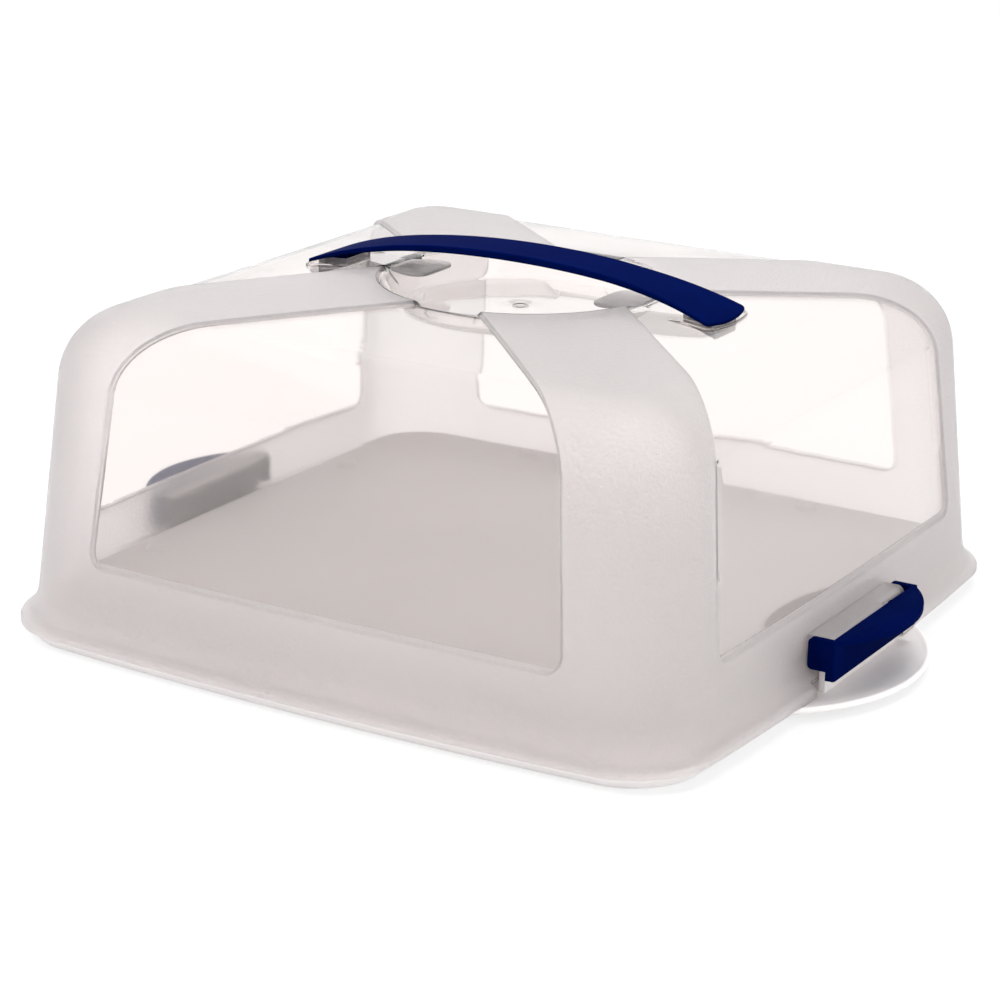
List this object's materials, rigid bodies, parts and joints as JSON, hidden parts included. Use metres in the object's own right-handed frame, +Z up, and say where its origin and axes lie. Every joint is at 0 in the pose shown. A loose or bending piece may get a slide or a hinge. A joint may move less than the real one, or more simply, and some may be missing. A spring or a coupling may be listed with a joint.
{
  "type": "cake carrier",
  "caption": "Square cake carrier with a raised tray, a clear and frosted lift-off hood, a bowed carry handle and swing clips on opposite sides.",
  "frame": {"origin": "on the table, at the middle of the tray's foot", "axes": "+Z up, the carry handle and the two clips lie along X"},
  "size_m": [0.388, 0.3556, 0.1632],
  "materials": {
    "tray": "satin white polypropylene",
    "hood": "translucent polypropylene, grained bands and polished windows",
    "handle": "navy blue polypropylene, satin",
    "clips": "navy blue polypropylene, satin"
  },
  "bodies": {
    "tray_body": {"base_tray": "tray"},
    "hood_body": {"hood": "hood", "carry_handle": "handle"},
    "right_clip_body": {"right_clip": "clips"},
    "left_clip_body": {"left_clip": "clips"}
  },
  "joints": [
    {"name": "hood_lift", "type": "slide", "parent": "tray_body", "child": "hood_body", "axis": [0, 0, 1], "range_m": [0, 0.18]},
    {"name": "right_clip_swing", "type": "hinge", "parent": "hood_body", "child": "right_clip_body", "pos_m": [0.168, 0, 0.0274], "axis": [0, -1, 0], "range_deg": [0, 95]},
    {"name": "left_clip_swing", "type": "hinge", "parent": "hood_body", "child": "left_clip_body", "pos_m": [-0.168, 0, 0.0274], "axis": [0, 1, 0], "range_deg": [0, 95]}
  ]
}
